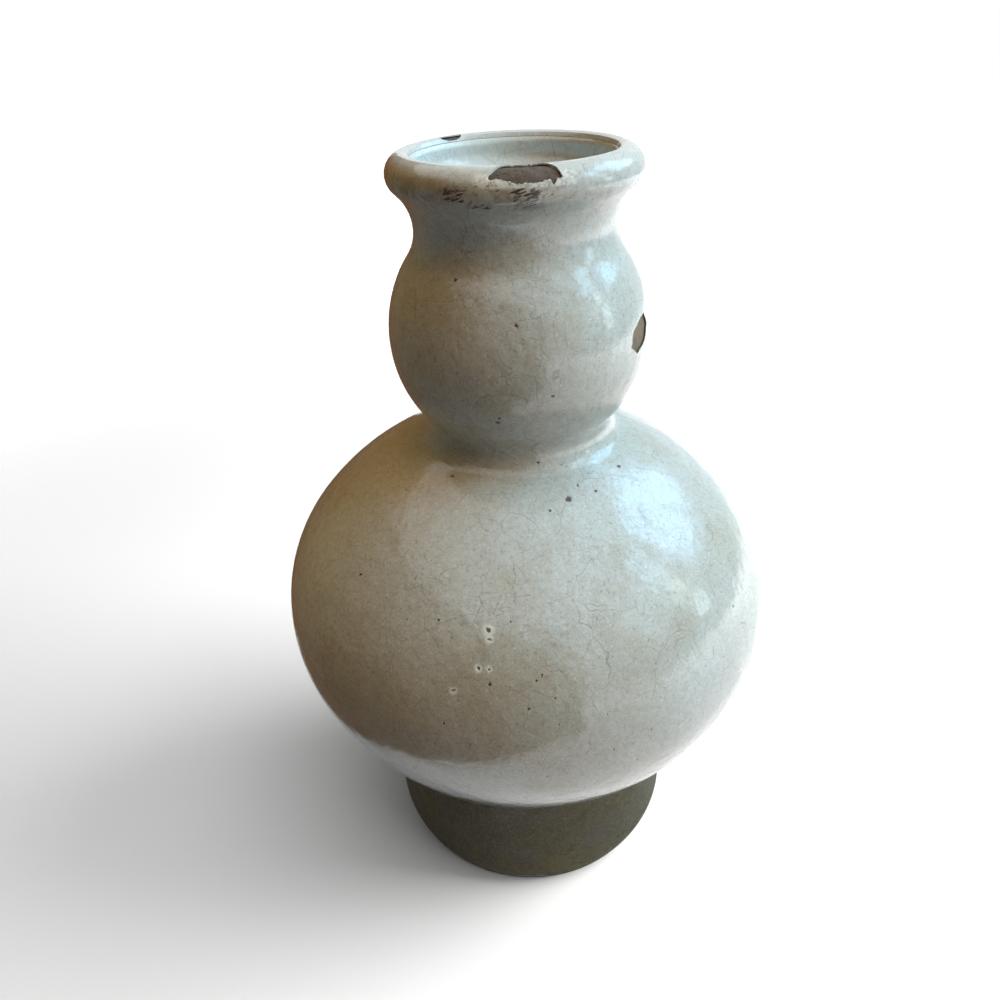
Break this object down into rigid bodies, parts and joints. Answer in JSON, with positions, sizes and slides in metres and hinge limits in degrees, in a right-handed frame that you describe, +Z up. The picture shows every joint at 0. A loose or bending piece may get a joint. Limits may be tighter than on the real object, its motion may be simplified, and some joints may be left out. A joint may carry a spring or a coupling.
{
  "type": "gourd vase",
  "caption": "Tall double-gourd vase with a round belly, a smaller upper bulb, a rolled lip and a bare clay foot, under a thick crackled off-white glaze.",
  "frame": {"origin": "centre of the circle that the foot stands on", "axes": "+Z up along the axis the pot was turned on; the front of the picture is towards -Y and its right is +X"},
  "size_m": [0.26, 0.26, 0.3926],
  "materials": {
    "clay": "matte, fine yellowish speckle",
    "glaze": "thick gloss with a fine dark crackle"
  },
  "bodies": {
    "root": {"foot": "clay", "lower_bowl": "clay", "shoulder": "clay", "upper_bulb": "clay", "mouth_rim": "clay", "outer_glaze": "glaze", "liner_glaze": "glaze"}
  },
  "joints": []
}
